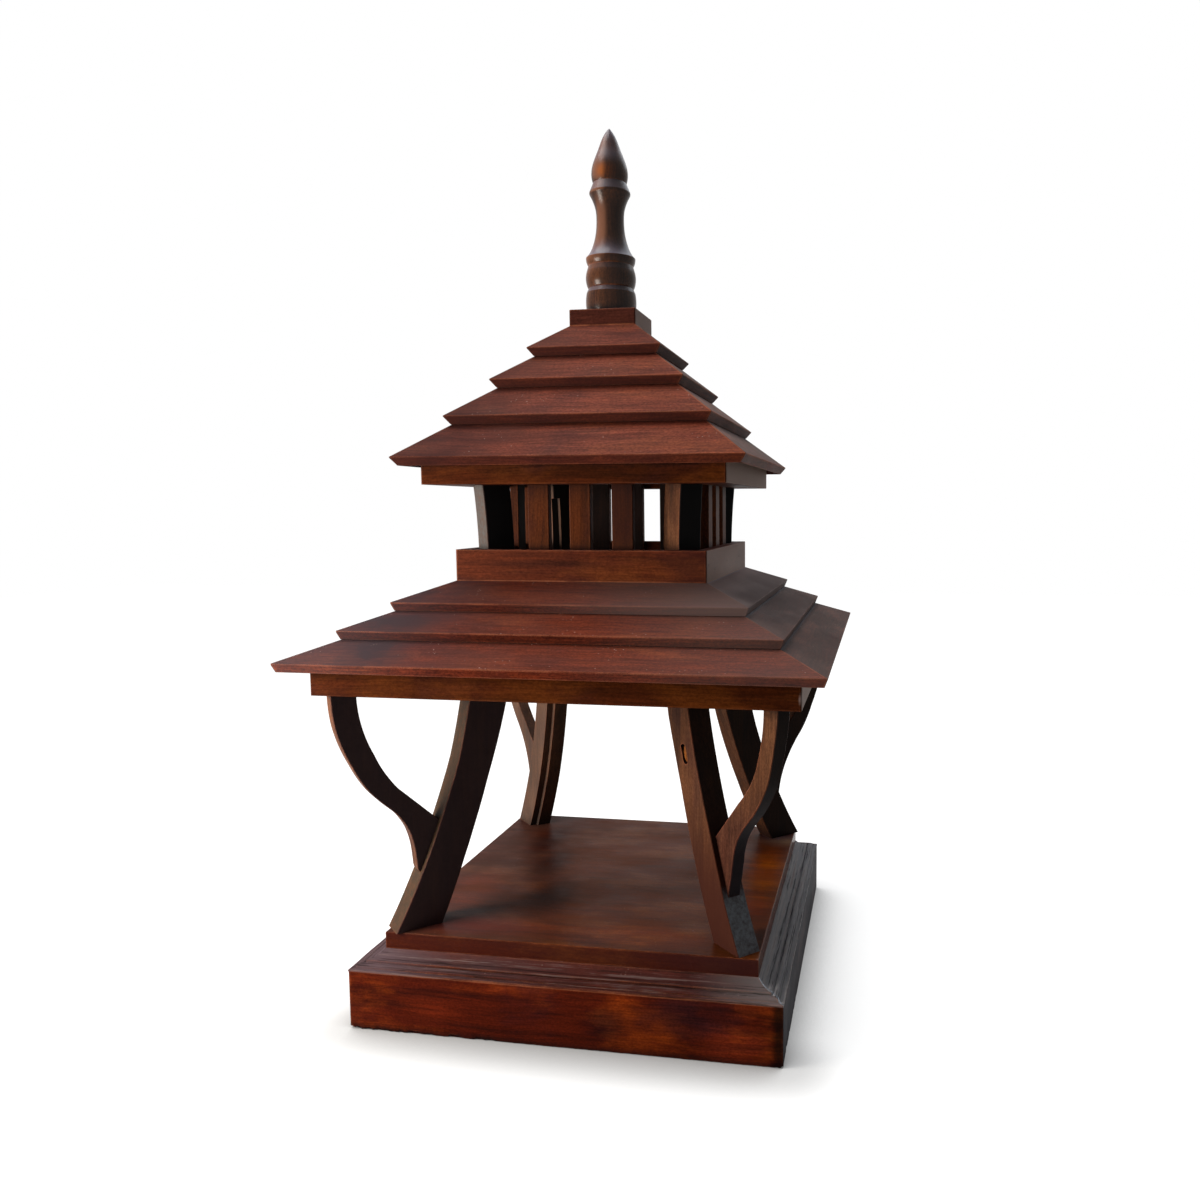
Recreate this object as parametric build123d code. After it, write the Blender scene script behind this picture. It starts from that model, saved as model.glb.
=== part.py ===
from build123d import *
import math
import os

# A household spirit house of stained hardwood. A moulded plinth carries a floor board and four
# curved corner posts. The posts run up through a wide three-tier roof and hold a slatted lantern
# and a steep four-tier roof, which ends in a cap and a turned finial.
# Millimetres. The front faces -Y, +Z is up, and the origin is the middle of the underside.

# ---------------------------------------------------------------- driving sizes
# Plinth: skirt boards, a moulding strip on top of them, and the floor board.
floor_width = 320.0
floor_thickness = 14.2
plinth_projection = 22.5
skirt_height = 50.0
skirt_thickness = 22.0
moulding_height = 11.6
moulding_lip = 1.2
moulding_ledge = 4.0
moulding_step = 1.4
bead_width = 6.5
bead_rise = 3.0
bead_flat = 1.6
cove_sag = 1.7
floor_bearing = 10.0

# Corner posts and brackets, sawn from boards that stand on the diagonals of the plan.
pavilion_height = 209.7
post_thickness = 22.0
post_foot_width = 35.0
post_waist_width = 24.5
shoulder_height = 28.0
outer_shoulder = 3.0
inner_shoulder = 3.0
post_head = 15.0
foot_inset = 0.6
bracket_thickness = 12.0
bracket_width = 18.0
bracket_toe_height = 41.2
bracket_setback = 16.0
bracket_upper_share = 0.585
planed_arris = 0.6

# Lower roof: a beam frame and three tiers of sloping boards.
lower_beam_width = 393.4
lower_beam_board = 30.0
lower_fascia = 21.2
lower_overhang = 20.2
lower_slope = 21.0
lower_board = 8.0
lower_exposures = (35.0, 31.1)
lower_lap = 22.0

# Lantern: a low curb, slats on four sides, and the upper beam frame over them.
lantern_width = 220.4
curb_thickness = 10.0
curb_height = 27.0
lantern_opening = 55.1
slat_width = 18.5
slat_thickness = 8.0
slat_hold = 14.0
# Middles of the slats on each side, seen from outside that side. They are nailed on by eye.
slat_places = {"front": (-38.4, -1.4, 35.8), "right": (-37.2, 0.0, 37.2),
               "back": (-32.0, 4.8, 40.8), "left": (-37.2, 0.0, 37.2)}

# Upper roof: a beam frame and four steeper tiers.
upper_beam_width = 260.2
upper_fascia = 15.0
upper_overhang = 18.5
upper_slope = 37.0
upper_board = 9.0
upper_exposures = (32.6, 29.7, 25.1)
upper_lap = 16.0

# Cap and finial.
cap_width = 62.0
cap_height = 14.9
cap_bearing = 7.0

# The turned finial, each moulding as (radius, height above the cap) going up its outline.
drum_side = ((22.1, 0.0), (23.4, 11.0), (22.6, 19.0))
lower_groove = (20.8, 23.2)
bead_side = ((21.5, 23.9), (23.2, 31.5), (22.3, 38.6))
upper_groove = (20.8, 43.6)
flare_side = ((21.4, 44.4), (22.5, 47.2), (22.9, 50.6))
waist_side = ((22.9, 50.6), (19.9, 54.2), (15.7, 63.6), (13.2, 75.5), (12.7, 84.0),
              (13.3, 94.0), (15.0, 100.0), (18.6, 107.6))
ring_side = ((18.6, 107.6), (18.9, 109.1), (18.5, 110.5))
neck = (15.3, 118.2)
bud_side = ((15.7, 118.9), (16.8, 126.5), (15.9, 132.8), (10.5, 147.4), (4.6, 161.4), (0.9, 166.4))
finial_height = 167.2

# Common allowances.
arris_radius = 0.8
corner_round = 1.5
seat_bevel = 12.0
fit_clearance = 0.15
well_clearance = 1.0

# How far a cutting shape runs past the piece it cuts.
spare = 1.0
beyond = 1000.0

# A rebate along the inner edge of one post, and a knot hole in the face of another.
rebate_width = 7.0
rebate_depth = 5.0
rebate_stop = 10.0
knot_length = 17.0
knot_width = 6.5
knot_depth = 4.0
knot_height = 226.0

# ---------------------------------------------------------------- derived places
floor_half = floor_width / 2
base_half = floor_half + plinth_projection
floor_bottom = skirt_height + moulding_height
floor_top = floor_bottom + floor_thickness
lower_beam_bottom = floor_top + pavilion_height
lower_beam_half = lower_beam_width / 2
lantern_half = lantern_width / 2
lantern_inner_half = lantern_half - curb_thickness
upper_beam_half = upper_beam_width / 2
cap_half = cap_width / 2

turns = {"front": 0, "right": 90, "back": 180, "left": 270}
corner_turns = {"front_left": 0, "front_right": 90, "back_right": 180, "back_left": 270}

# The section plane of a front board: across the board outwards (-Y), and up.
side_section = Plane(origin=(0, 0, 0), x_dir=(0, -1, 0), z_dir=(-1, 0, 0))
# The plane of the front left post: outwards along the diagonal, and up.
corner_section = Plane(origin=(0, 0, 0), x_dir=(-1, -1, 0), z_dir=(-1, 1, 0))


def soften(face, points, radius=arris_radius):
    """Round the corners of a section that lie at the given points."""
    chosen = []
    for corner in face.vertices():
        if min((Vector(*p) - corner.center()).length for p in points) < 0.01:
            chosen.append(corner)
    return fillet(chosen, radius)


def outline(points, rounded=()):
    """A closed section with straight sides."""
    face = make_face(Polyline(*points, close=True))
    return soften(face, rounded) if rounded else face


def mitred_board(section, half):
    """The front board of a square frame, cut at 45 degrees, its half of each corner rounded."""
    reach = half + spare
    bar = extrude(side_section * section, amount=reach, both=True)
    quadrant = make_face(Polyline((0, 0), (-reach, -reach), (reach, -reach), close=True))
    plan = quadrant & RectangleRounded(2 * half, 2 * half, corner_round)
    return bar & extrude(plan, amount=beyond)


def turned(shape, angle):
    """The same piece on another side of the house."""
    return Rot(0, 0, angle) * shape


def write(name, pieces):
    """One STEP file for a node, of one solid or of like solids that don't touch."""
    solids = [solid for piece in pieces for solid in piece.solids()]
    shape = solids[0] if len(solids) == 1 else Compound(children=solids)
    shape.label = name
    export_step(shape, f"parts/{name}.step")


def write_frame(name, board):
    """A square frame as two nodes: its front and back boards, and its two side boards."""
    write(f"{name}_front_back", [turned(board, turns[side]) for side in ("front", "back")])
    write(f"{name}_sides", [turned(board, turns[side]) for side in ("right", "left")])


# ---------------------------------------------------------------- plinth
def skirt_board():
    inner = base_half - skirt_thickness
    section = outline([(inner, 0), (base_half, 0), (base_half, skirt_height), (inner, skirt_height)],
                      [(base_half, 0)])
    return mitred_board(section, base_half)


def moulding_strip():
    """From the outside in: a lip, a ledge, a step, a round bead, a flat, and a cove up to the floor."""
    lip_top = skirt_height + moulding_lip
    ledge_in = base_half - moulding_ledge
    bead_foot = lip_top + moulding_step
    bead_in = ledge_in - bead_width
    bead_top = bead_foot + bead_rise
    flat_in = bead_in - bead_flat
    inner = floor_half - floor_bearing
    bead_middle = math.sqrt(0.5)
    cove_middle = ((flat_in + floor_half) / 2, (bead_top + floor_bottom) / 2 - cove_sag)
    sides = [
        Polyline((flat_in, bead_top), (bead_in, bead_top)),
        ThreePointArc((bead_in, bead_top),
                      (bead_in + bead_width * bead_middle, bead_foot + bead_rise * bead_middle),
                      (ledge_in, bead_foot)),
        Polyline((ledge_in, bead_foot), (ledge_in, lip_top), (base_half, lip_top),
                 (base_half, skirt_height), (inner, skirt_height), (inner, floor_bottom),
                 (floor_half, floor_bottom)),
        ThreePointArc((floor_half, floor_bottom), cove_middle, (flat_in, bead_top)),
    ]
    return mitred_board(make_face(sides), base_half)


def floor_board():
    board = Pos(0, 0, floor_bottom) * extrude(Rectangle(floor_width, floor_width), amount=floor_thickness)
    return fillet(board.faces().sort_by(Axis.Z)[-1].edges(), arris_radius)


# ---------------------------------------------------------------- roofs
class Roof:
    """Tiers of sloping boards, each lapped over the one below, around a square house."""

    def __init__(self, eave_half, eave_bottom, slope, board, exposures):
        self.board = board
        self.rise = math.tan(math.radians(slope))
        self.cos = math.cos(math.radians(slope))
        self.sin = math.sin(math.radians(slope))
        self.arrises = [(eave_half, eave_bottom + board * self.cos)]
        for exposure in exposures:
            half, height = self.arrises[-1]
            self.arrises.append((half - exposure, height + exposure * self.rise + board / self.cos))

    def top_at(self, tier, half):
        """Height of a tier's upper face at a distance from the middle."""
        arris_half, arris_height = self.arrises[tier]
        return arris_height + (arris_half - half) * self.rise

    def underside_at(self, tier, half):
        return self.top_at(tier, half) - self.board / self.cos

    def lower_arris(self, tier):
        """Half width at the lower edge of a tier's square-cut end."""
        return self.arrises[tier][0] - self.board * self.sin

    def tier_board(self, tier, inner_half):
        """One plain board of a tier, from its arris to an inner edge cut square."""
        half, height = self.arrises[tier]
        length = (half - inner_half) / self.cos
        along = Vector(-self.cos, self.sin) * length
        down = Vector(-self.sin, -self.cos) * self.board
        arris = Vector(half, height)
        corners = [arris, arris + along, arris + along + down, arris + down]
        points = [(corner.X, corner.Y) for corner in corners]
        return mitred_board(outline(points, [points[0], points[3]]), half)


def beam_board(half, inner_half, bottom, roof):
    """A beam with its outer top edge bevelled to seat the eave board."""
    seat_in = half - min(seat_bevel, (half - inner_half) / 2)
    seat_out_top = roof.underside_at(0, half)
    seat_in_top = roof.underside_at(0, seat_in)
    section = outline([(inner_half, bottom), (half, bottom), (half, seat_out_top),
                       (seat_in, seat_in_top), (inner_half, seat_in_top)],
                      [(inner_half, bottom), (half, bottom)])
    return mitred_board(section, half)


# ---------------------------------------------------------------- heights that hang on the roofs
lower_roof = Roof(lower_beam_half + lower_overhang, lower_beam_bottom + lower_fascia,
                  lower_slope, lower_board, lower_exposures)
last_lower = len(lower_roof.arrises) - 1
curb_top = lower_roof.top_at(last_lower, lantern_half) + curb_height
curb_inner_bottom = lower_roof.top_at(last_lower, lantern_inner_half)
upper_beam_bottom = curb_top + lantern_opening
upper_roof = Roof(upper_beam_half + upper_overhang, upper_beam_bottom + upper_fascia,
                  upper_slope, upper_board, upper_exposures)
last_upper = len(upper_roof.arrises) - 1
cap_bottom = upper_roof.top_at(last_upper, cap_half)
cap_top = cap_bottom + cap_height
post_top = upper_beam_bottom + post_head
post_waist_level = curb_top - curb_height / 2
shoulder_level = lower_beam_bottom + shoulder_height


# ---------------------------------------------------------------- posts and brackets
class PostEdge:
    """A circular edge that is upright at the waist and passes through two points of the post."""

    def __init__(self, foot, seat):
        foot_drop = foot[1] - post_waist_level
        seat_drop = seat[1] - post_waist_level
        spread = foot[0] - seat[0]
        reach = ((foot_drop ** 2 - seat_drop ** 2) / spread + spread) / 2
        self.centre = seat[0] + reach
        self.radius = math.hypot(reach, seat_drop)

    def at(self, height):
        """Distance from the axis of the house at a height."""
        return self.centre - math.sqrt(self.radius ** 2 - (height - post_waist_level) ** 2)

    def arc(self, low, high, shift=0.0):
        """The edge between two heights, moved outwards by a shift."""
        points = [(self.at(height) + shift, height) for height in (low, (low + high) / 2, high)]
        return ThreePointArc(*points)


def corner_reach(half, thickness):
    """Diagonal distance at which a board of a thickness just fits inside a square corner."""
    return half * math.sqrt(2) - thickness / 2


outer_foot = corner_reach(floor_half - foot_inset, post_thickness)
outer_seat = corner_reach(lantern_inner_half - fit_clearance, post_thickness)
inner_foot = outer_foot - post_foot_width
lantern_outer = PostEdge((outer_foot, floor_top), (outer_seat, curb_inner_bottom))
lantern_inner = PostEdge((inner_foot, floor_top), (outer_seat - post_waist_width, curb_inner_bottom))
outer_edge = PostEdge((outer_foot, floor_top),
                      (lantern_outer.at(shoulder_level) + outer_shoulder, shoulder_level))
inner_edge = PostEdge((inner_foot, floor_top),
                      (lantern_inner.at(shoulder_level) - inner_shoulder, shoulder_level))
pavilion_edges = (outer_edge, inner_edge)
lantern_edges = (lantern_outer, lantern_inner)


def length_face(low, high, edges, inner_shift=0.0, outer_shift=0.0):
    """One length of a post's sawn outline, its curved edges moved outwards by the shifts."""
    outer = edges[0].arc(low, high, outer_shift)
    inner = edges[1].arc(low, high, inner_shift)
    return make_face([outer, inner, Line(outer @ 0, inner @ 0), Line(outer @ 1, inner @ 1)])


def post_face(low, high, inner_shift=0.0, outer_shift=0.0):
    """The whole outline between two heights, wide below the shoulder and narrow above it."""
    if low >= shoulder_level:
        return length_face(low, high, lantern_edges, inner_shift, outer_shift)
    below = length_face(low, shoulder_level, pavilion_edges, inner_shift, outer_shift)
    above = length_face(shoulder_level, high, lantern_edges, inner_shift, outer_shift)
    return below + above


def slice_between(low, high):
    """Everything between two heights."""
    return Pos(0, 0, low) * extrude(Rectangle(beyond, beyond), amount=high - low)


def sawn_board(face, thickness):
    """A board sawn to an outline on a diagonal of the plan, its curved arrises planed off."""
    blank = extrude(corner_section * face, amount=thickness / 2, both=True)
    return chamfer(blank.edges().filter_by(GeomType.CIRCLE), planed_arris)


def corner_post():
    """A wide length in the pavilion and a narrow one above the shoulder, cut off square."""
    foot = length_face(floor_top - spare, shoulder_level + spare, pavilion_edges)
    head = length_face(shoulder_level - spare, post_top + spare, lantern_edges)
    foot_length = sawn_board(foot, post_thickness) & slice_between(floor_top, shoulder_level)
    head_length = sawn_board(head, post_thickness) & slice_between(shoulder_level, post_top)
    return foot_length + head_length


def post_housing():
    """The room for the head of a post in the corner of the upper beam frame."""
    face = post_face(upper_beam_bottom - spare, post_top + fit_clearance, -fit_clearance, fit_clearance)
    return extrude(corner_section * face, amount=post_thickness / 2 + fit_clearance, both=True)


def post_rebate():
    """The strip taken off the inner edge, on the face that turns to the side of the house."""
    stop = upper_beam_bottom - rebate_stop
    whole = post_face(floor_top - spare, stop, -rebate_depth)
    kept = post_face(floor_top - spare, stop, rebate_depth)
    face_plane = corner_section.offset(-post_thickness / 2 - spare)
    return extrude(face_plane * (whole - kept), amount=rebate_width + spare)


def post_knot():
    """An oval hole where a knot fell out, lying along the grain."""
    middle = (outer_edge.at(knot_height) + inner_edge.at(knot_height)) / 2
    drift = outer_edge.at(knot_height + knot_length / 2) - outer_edge.at(knot_height - knot_length / 2)
    lean = math.degrees(math.atan2(knot_length, drift))
    slot = Pos(middle, knot_height) * Rot(0, 0, lean) * SlotOverall(knot_length, knot_width)
    face_plane = corner_section.offset(post_thickness / 2 - knot_depth)
    return extrude(face_plane * slot, amount=knot_depth + spare)


def bracket():
    """An S-curved brace from the outer edge of a post to the corner of the lower beam frame."""
    toe_level = floor_top + bracket_toe_height
    toe = Vector(outer_edge.at(toe_level), toe_level)
    head = Vector(lower_beam_half * math.sqrt(2) - bracket_setback, lower_beam_bottom)
    spread = head.X - toe.X
    height = head.Y - toe.Y
    sweep = 2 * math.atan2(spread, height)
    radii = height / math.sin(sweep)
    upper = radii * bracket_upper_share
    lower = radii - upper
    mid_half = sweep / 2

    def upper_point(radius, angle):
        centre = Vector(head.X - upper, head.Y)
        return centre + Vector(radius * math.cos(angle), -radius * math.sin(angle))

    def lower_point(angle):
        centre = Vector(toe.X + lower, toe.Y)
        return centre + Vector(-lower * math.cos(angle), lower * math.sin(angle))

    inner_radius = upper - bracket_width
    bend = upper_point(inner_radius, sweep)
    seat_run = (bend.X - outer_edge.at(bend.Y - bracket_width) + bracket_width) / math.sin(sweep)
    buried = bend - Vector(math.sin(sweep), math.cos(sweep)) * seat_run
    toe_buried = Vector(toe.X - bracket_width, toe.Y)
    sides = [
        ThreePointArc(upper_point(upper, 0), upper_point(upper, mid_half), upper_point(upper, sweep)),
        ThreePointArc(lower_point(sweep), lower_point(mid_half), toe),
        Polyline(toe, toe_buried, buried, bend),
        ThreePointArc(bend, upper_point(inner_radius, mid_half), upper_point(inner_radius, 0)),
        Line(upper_point(inner_radius, 0), upper_point(upper, 0)),
    ]
    board = sawn_board(make_face(sides), bracket_thickness)
    post_blank = extrude(corner_section * post_face(floor_top, post_top), amount=post_thickness, both=True)
    pieces = (board - post_blank).solids().sort_by(SortBy.VOLUME)
    return pieces[-1]


# ---------------------------------------------------------------- lantern
def curb_board():
    bottom = lower_roof.top_at(last_lower, lantern_half)
    section = outline([(lantern_half, bottom), (lantern_half, curb_top),
                       (lantern_inner_half, curb_top), (lantern_inner_half, curb_inner_bottom)],
                      [(lantern_half, curb_top), (lantern_inner_half, curb_top)])
    return mitred_board(section, lantern_half)


def slats(places):
    """The slats of one side, held against the inner faces of the curb and the upper beam."""
    low = curb_top - slat_hold
    high = upper_beam_bottom + slat_hold
    depth = -lantern_inner_half + slat_thickness / 2
    blank = fillet(Rectangle(slat_width, slat_thickness).vertices(), arris_radius)
    slat = extrude(blank, amount=high - low)
    return [Pos(place, depth, low) * slat for place in places]


# ---------------------------------------------------------------- cap and finial
def roof_cap():
    """A square block, hollowed below to sit on the top tier."""
    plan = RectangleRounded(cap_width, cap_width, corner_round)
    block = Pos(0, 0, cap_bottom) * extrude(plan, amount=cap_height)
    block = fillet(block.faces().sort_by(Axis.Z)[-1].edges(), arris_radius)
    recess_top = upper_roof.top_at(last_upper, cap_half - cap_bearing)
    top_width = cap_width - 2 * cap_bearing
    recess = loft([Pos(0, 0, cap_bottom) * Rectangle(cap_width, cap_width),
                   Pos(0, 0, recess_top) * Rectangle(top_width, top_width)])
    return block - recess


def finial():
    """Turned in one piece: a drum, a bead, a flare, a waist, a ring and a pointed bud."""
    tip = (0, finial_height)
    sides = [
        ThreePointArc(*drum_side),
        Polyline(drum_side[-1], lower_groove, bead_side[0]),
        ThreePointArc(*bead_side),
        Polyline(bead_side[-1], upper_groove, flare_side[0]),
        ThreePointArc(*flare_side),
        Spline(*waist_side),
        ThreePointArc(*ring_side),
        Polyline(ring_side[-1], neck, bud_side[0]),
        Spline(*bud_side),
        Polyline(bud_side[-1], tip, (0, 0), drum_side[0]),
    ]
    profile = Plane.XZ * make_face(sides)
    return Pos(0, 0, cap_top) * revolve(profile, Axis.Z)


# ---------------------------------------------------------------- the house
os.makedirs("parts", exist_ok=True)

skirt = skirt_board()
for side, angle in turns.items():
    write(f"base_board_{side}", [turned(skirt, angle)])
write_frame("base_moulding", moulding_strip())
write("floor_board", [floor_board()])

post = corner_post()
brace = bracket()
for corner, angle in corner_turns.items():
    own_post = post
    if corner == "back_left":
        own_post = post - post_rebate()
    if corner == "front_right":
        own_post = post - post_knot()
    write(f"corner_post_{corner}", [turned(own_post, angle)])
    write(f"bracket_{corner}", [turned(brace, angle)])

write_frame("lower_beam", beam_board(lower_beam_half, lower_beam_half - lower_beam_board,
                                     lower_beam_bottom, lower_roof))
for tier in range(last_lower + 1):
    if tier < last_lower:
        inner_half = lower_roof.lower_arris(tier + 1) - lower_lap
    else:
        inner_half = lantern_inner_half + well_clearance + lower_board * lower_roof.sin
    write_frame(f"lower_roof_tier_{tier + 1}", lower_roof.tier_board(tier, inner_half))

write_frame("lantern_curb", curb_board())
for side, angle in turns.items():
    write(f"lantern_slats_{side}", [turned(slat, angle) for slat in slats(slat_places[side])])

upper_beam = beam_board(upper_beam_half, lantern_inner_half, upper_beam_bottom, upper_roof)
for corner in ("front_left", "front_right"):
    upper_beam -= turned(post_housing(), corner_turns[corner])
write_frame("upper_beam", upper_beam)
for tier in range(last_upper + 1):
    if tier < last_upper:
        inner_half = upper_roof.lower_arris(tier + 1) - upper_lap
    else:
        inner_half = cap_half - cap_bearing
    write_frame(f"upper_roof_tier_{tier + 1}", upper_roof.tier_board(tier, inner_half))

write("roof_cap", [roof_cap()])
write("finial", [finial()])
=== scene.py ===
import bmesh
import bpy
import math
import random
from mathutils import Matrix, Vector


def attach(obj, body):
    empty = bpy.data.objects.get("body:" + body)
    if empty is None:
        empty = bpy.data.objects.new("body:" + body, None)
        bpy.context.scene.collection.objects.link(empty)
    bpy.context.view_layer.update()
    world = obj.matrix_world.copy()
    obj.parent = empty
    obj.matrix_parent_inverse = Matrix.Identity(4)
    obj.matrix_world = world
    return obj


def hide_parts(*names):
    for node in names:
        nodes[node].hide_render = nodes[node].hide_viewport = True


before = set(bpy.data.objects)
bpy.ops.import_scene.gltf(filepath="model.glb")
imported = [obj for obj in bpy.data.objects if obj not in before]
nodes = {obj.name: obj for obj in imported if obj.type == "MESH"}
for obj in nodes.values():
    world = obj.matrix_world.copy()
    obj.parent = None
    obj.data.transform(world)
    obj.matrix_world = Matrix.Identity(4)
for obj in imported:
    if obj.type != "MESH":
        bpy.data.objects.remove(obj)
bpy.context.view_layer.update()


# ---------------------------------------------------------------- plinth skirt
# Four hardwood boards on edge, 50 mm high, mitred at the corners and glued to the moulding above.
# They are planed, stained red-brown and varnished. The lower edge is chipped where the house was
# dragged over hard floors.

def add(tree, kind, inputs, **settings):
    """One node, with its settings, and each input set to a value or joined to a socket."""
    node = tree.nodes.new("ShaderNode" + kind)
    for name, value in settings.items():
        setattr(node, name, value)
    for name, value in inputs.items():
        if isinstance(value, bpy.types.NodeSocket):
            tree.links.new(value, node.inputs[name])
        else:
            node.inputs[name].default_value = value
    return node


def sums(tree, operation, *values, clamp=False):
    return add(tree, "Math", dict(enumerate(values)), operation=operation, use_clamp=clamp).outputs[0]


def both(tree, one, other):
    """Where two masks hold at once."""
    return sums(tree, "MULTIPLY", one, other)


def own_place(tree):
    """The point's place in the piece's own coordinates."""
    return add(tree, "TexCoord", {}).outputs["Object"]


def ramp(tree, value, low, high, to_low=0.0, to_high=1.0):
    """Eases a value from to_low to to_high as it goes from low to high."""
    inputs = {"Value": value, "From Min": low, "From Max": high, "To Min": to_low, "To Max": to_high}
    return add(tree, "MapRange", inputs, interpolation_type="SMOOTHSTEP").outputs[0]


def blended(tree, amount, under, over, way="MIX"):
    return add(tree, "Mix", {0: amount, 6: under, 7: over}, data_type="RGBA", blend_type=way).outputs[2]


def stretched(tree, place, along, across):
    """The pattern's coordinates, drawn out along the grain."""
    return add(tree, "Mapping", {"Vector": place, "Scale": (along, across, across)}).outputs[0]


def grain_noise(tree, place, scale, detail, roughness=0.55):
    inputs = {"Vector": place, "Scale": scale, "Detail": detail, "Roughness": roughness}
    return add(tree, "TexNoise", inputs).outputs["Fac"]


grain_turns = {"X": (0, 0, 0), "Y": (0, 0, -math.pi / 2), "Z": (0, math.pi / 2, 0)}
worn_and_glint_colour = (0.42, 0.135, 0.065, 1)
mauve_dust = (0.135, 0.085, 0.088, 1)
speck_colour = (0.46, 0.30, 0.26, 1)
grime_and_shade = (0.010, 0.006, 0.006, 1)
plum_stain_and_shade = (0.022, 0.0065, 0.0095, 1)
rubbed_reach = 0.0019
joint_core, joint_edge = 0.0002, 0.0007


def old_wood(name, grain, body, streak, glow, seed, patches=0.6, plums=0.4, mottle=0.22, wear_and_glint=0.5,
             dust=0.25, dust_colour=mauve_dust, left_share=0.0, left_colour=mauve_dust, settles=0.30,
             specks=0.5, crease=0.012, mitred=False, roughness=0.5, gloss=0.025, coat=0.0):
    """Stained and varnished hardwood: streaks, fibres and pores along the grain, smoky light and
    plum-dark patches, worn arrises with a painted highlight, grime and painted shade in the creases,
    and dust and crumbs on top."""
    material = bpy.data.materials.new(name)
    material.use_nodes = True
    tree = material.node_tree
    shader = tree.nodes["Principled BSDF"]
    place = own_place(tree)
    shift = (0.37 * seed, 0.23 * seed, 0.31 * seed)
    lying = add(tree, "Mapping", {"Vector": place, "Rotation": grain_turns[grain],
                                  "Location": shift}).outputs[0]
    wander = add(tree, "TexNoise", {"Vector": lying, "Scale": 5.0, "Detail": 2.0}).outputs["Color"]
    bend = add(tree, "VectorMath", {0: wander, 1: (0.0, 0.02, 0.02), 2: lying},
               operation="MULTIPLY_ADD").outputs[0]

    # Stain: the body colour, dark streaks, thin orange patches and deep plum ones.
    streaks = grain_noise(tree, stretched(tree, bend, 1, 15), 6.0, 6.0, 0.62)
    clouds = grain_noise(tree, stretched(tree, bend, 1, 2.4), 11.0, 5.0, 0.58)
    pools = grain_noise(tree, stretched(tree, bend, 1, 1.8), 14.0, 4.0, 0.5)
    colour = blended(tree, ramp(tree, streaks, 0.42, 0.70), body, streak)
    smoky = sums(tree, "MULTIPLY", ramp(tree, clouds, 0.47, 0.68), patches)
    colour = blended(tree, smoky, colour, glow)
    pooled = sums(tree, "MULTIPLY", ramp(tree, pools, 0.50, 0.72), plums)
    colour = blended(tree, pooled, colour, plum_stain_and_shade)

    # Figure: fibres, a fine grit in the stain, and open pores.
    fibres = grain_noise(tree, stretched(tree, bend, 1, 26), 24.0, 3.0)
    grits = grain_noise(tree, stretched(tree, lying, 1, 1.6), 420.0, 3.0, 0.75)
    cells = add(tree, "TexVoronoi", {"Vector": stretched(tree, bend, 1, 9),
                                     "Scale": 105.0}).outputs["Distance"]
    pores = ramp(tree, cells, 0.10, 0.24, 1.0, 0.0)
    shade = sums(tree, "MULTIPLY", ramp(tree, fibres, 0.30, 0.72, 1.0 + mottle, 1.0 - mottle),
                 ramp(tree, grits, 0.32, 0.68, 1.0 - mottle, 1.0 + mottle))
    shade = sums(tree, "MULTIPLY", shade, ramp(tree, pores, 0.0, 1.0, 1.0, 0.66))
    colour = blended(tree, 1.0, colour, shade, "MULTIPLY")

    # Wear and painted highlight: the arrises are rubbed through to lighter wood and catch the light.
    normal = add(tree, "NewGeometry", {}).outputs["Normal"]
    eased = add(tree, "Bevel", {"Radius": rubbed_reach}, samples=6).outputs["Normal"]
    turn = add(tree, "VectorMath", {0: normal, 1: eased}, operation="DOT_PRODUCT").outputs["Value"]
    rubbing = grain_noise(tree, stretched(tree, lying, 1, 1), 38.0, 5.0, 0.65)
    rubbed_and_glint = both(tree, ramp(tree, rubbing, 0.38, 0.62, 0.30, 1.0), ramp(tree, turn, 0.995, 0.92))
    colour = blended(tree, sums(tree, "MULTIPLY", rubbed_and_glint, wear_and_glint), colour, worn_and_glint_colour)

    # Grime and painted shade in the creases, darkest where the ambient occlusion is closed in.
    open_air = add(tree, "AmbientOcclusion", {"Distance": crease}, samples=6).outputs["AO"]
    open_air = sums(tree, "MULTIPLY_ADD", grits, 0.16, open_air)
    colour = blended(tree, ramp(tree, open_air, 0.94, 0.42, 0.0, 0.85), colour, grime_and_shade)

    # Dust and crumbs on what faces up.
    spot = add(tree, "SeparateXYZ", {0: place})
    upward = ramp(tree, add(tree, "SeparateXYZ", {0: normal}).outputs["Z"], settles, 0.95)
    drift = grain_noise(tree, stretched(tree, lying, 1, 1.6), 17.0, 6.0, 0.6)
    drift = sums(tree, "MULTIPLY_ADD", grits, 0.5, ramp(tree, drift, 0.32, 0.70, 0.10, 0.75))
    # Towards the left the film grows by the left share and takes the left colour.
    leftward = ramp(tree, spot.outputs["X"], 0.04, -0.16)
    settled = sums(tree, "MULTIPLY_ADD", leftward, left_share, dust)
    film = sums(tree, "MULTIPLY", sums(tree, "MULTIPLY", drift, upward), settled, clamp=True)
    colour = blended(tree, film, colour, blended(tree, leftward, dust_colour, left_colour))
    crumbs = add(tree, "TexVoronoi", {"Vector": place, "Scale": 560.0})
    chosen = add(tree, "SeparateColor", {0: crumbs.outputs["Color"]}).outputs[0]
    crumb = both(tree, ramp(tree, crumbs.outputs["Distance"], 0.16, 0.34, 1.0, 0.0),
                 ramp(tree, both(tree, chosen, rubbing), 0.50, 0.62))
    crumb = both(tree, crumb, upward)
    colour = blended(tree, sums(tree, "MULTIPLY", crumb, specks), colour, speck_colour)

    if mitred:
        # The glue line of the mitres, which lie on the diagonals of the plan.
        off_joint = sums(tree, "SUBTRACT", sums(tree, "ABSOLUTE", spot.outputs["X"]),
                         sums(tree, "ABSOLUTE", spot.outputs["Y"]))
        off_joint = sums(tree, "ABSOLUTE", off_joint)
        joint = ramp(tree, off_joint, joint_core, joint_edge, 0.8, 0.0)
        colour = blended(tree, joint, colour, grime_and_shade)

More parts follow.
